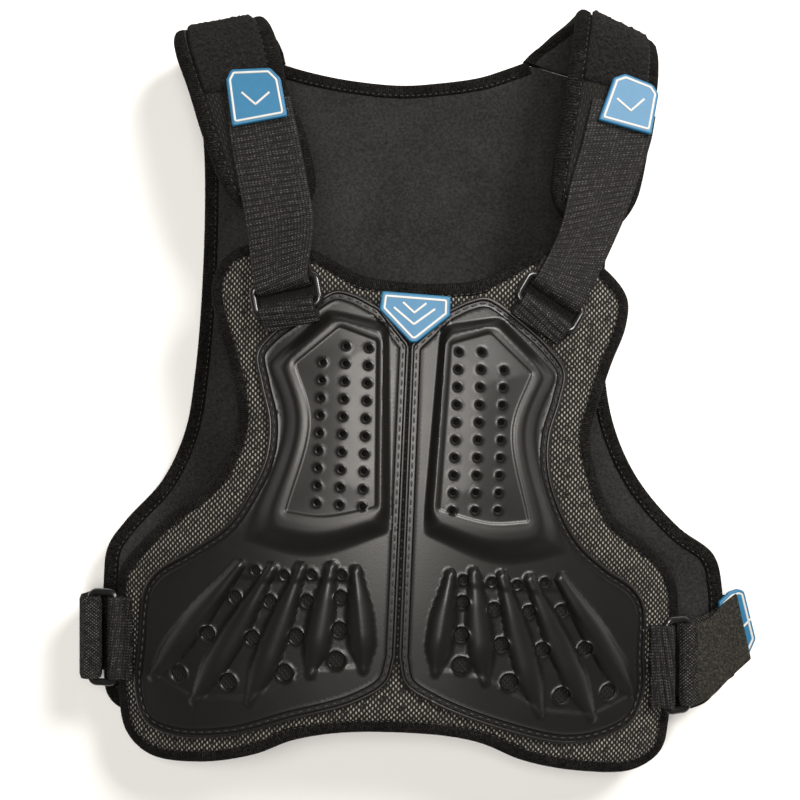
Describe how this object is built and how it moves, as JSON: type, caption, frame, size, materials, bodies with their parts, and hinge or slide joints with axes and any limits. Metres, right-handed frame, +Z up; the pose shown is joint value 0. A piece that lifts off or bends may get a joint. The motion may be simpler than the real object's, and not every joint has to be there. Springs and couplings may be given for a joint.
{
  "type": "body protector",
  "caption": "Padded body protector vest with stitched chest plates, shoulder pads that fold over, straps, plastic loops and pull tabs, lying on its back.",
  "frame": {"origin": "middle of the bounding box, on the surface that the back panel lies on", "axes": "+Z up out of the chest, +Y toward the neck, +X to the left arm of the wearer, which is the right of the picture"},
  "size_m": [0.4104, 0.458, 0.1098],
  "materials": {
    "mesh_fabric": "black open mesh over pale foam",
    "knit_fabric": "smooth charcoal knit",
    "elastic_edging": "black ribbed elastic",
    "plate_black": "matte black moulded plate with a soft sheen",
    "webbing_black": "black woven webbing with grey flecks",
    "loop_fuzz": "black fuzzy loop fabric",
    "ring_plastic": "glossy black",
    "blue_rubber": "satin light blue rubber"
  },
  "bodies": {
    "root": {"front_panel": "mesh_fabric", "back_panel": "knit_fabric", "front_binding": "elastic_edging", "back_binding": "elastic_edging", "plate_left": "plate_black", "plate_right": "plate_black", "badge": "blue_rubber", "shoulder_pad_left": "mesh_fabric", "shoulder_pad_right": "mesh_fabric", "pad_binding_left": "elastic_edging", "pad_binding_right": "elastic_edging", "loop_patch_left": "loop_fuzz", "loop_patch_right": "loop_fuzz", "shoulder_strap_left": "webbing_black", "shoulder_strap_right": "webbing_black", "shoulder_tab_left": "blue_rubber", "shoulder_tab_right": "blue_rubber", "shoulder_ring_left": "ring_plastic", "shoulder_ring_right": "ring_plastic", "shoulder_holder_left": "webbing_black", "shoulder_holder_right": "webbing_black", "side_ring_left": "ring_plastic", "side_ring_right": "ring_plastic", "side_holder_left": "webbing_black", "side_holder_right": "webbing_black", "side_strap_left": "webbing_black", "side_strap_right": "webbing_black", "side_tab_right": "blue_rubber"}
  },
  "joints": []
}
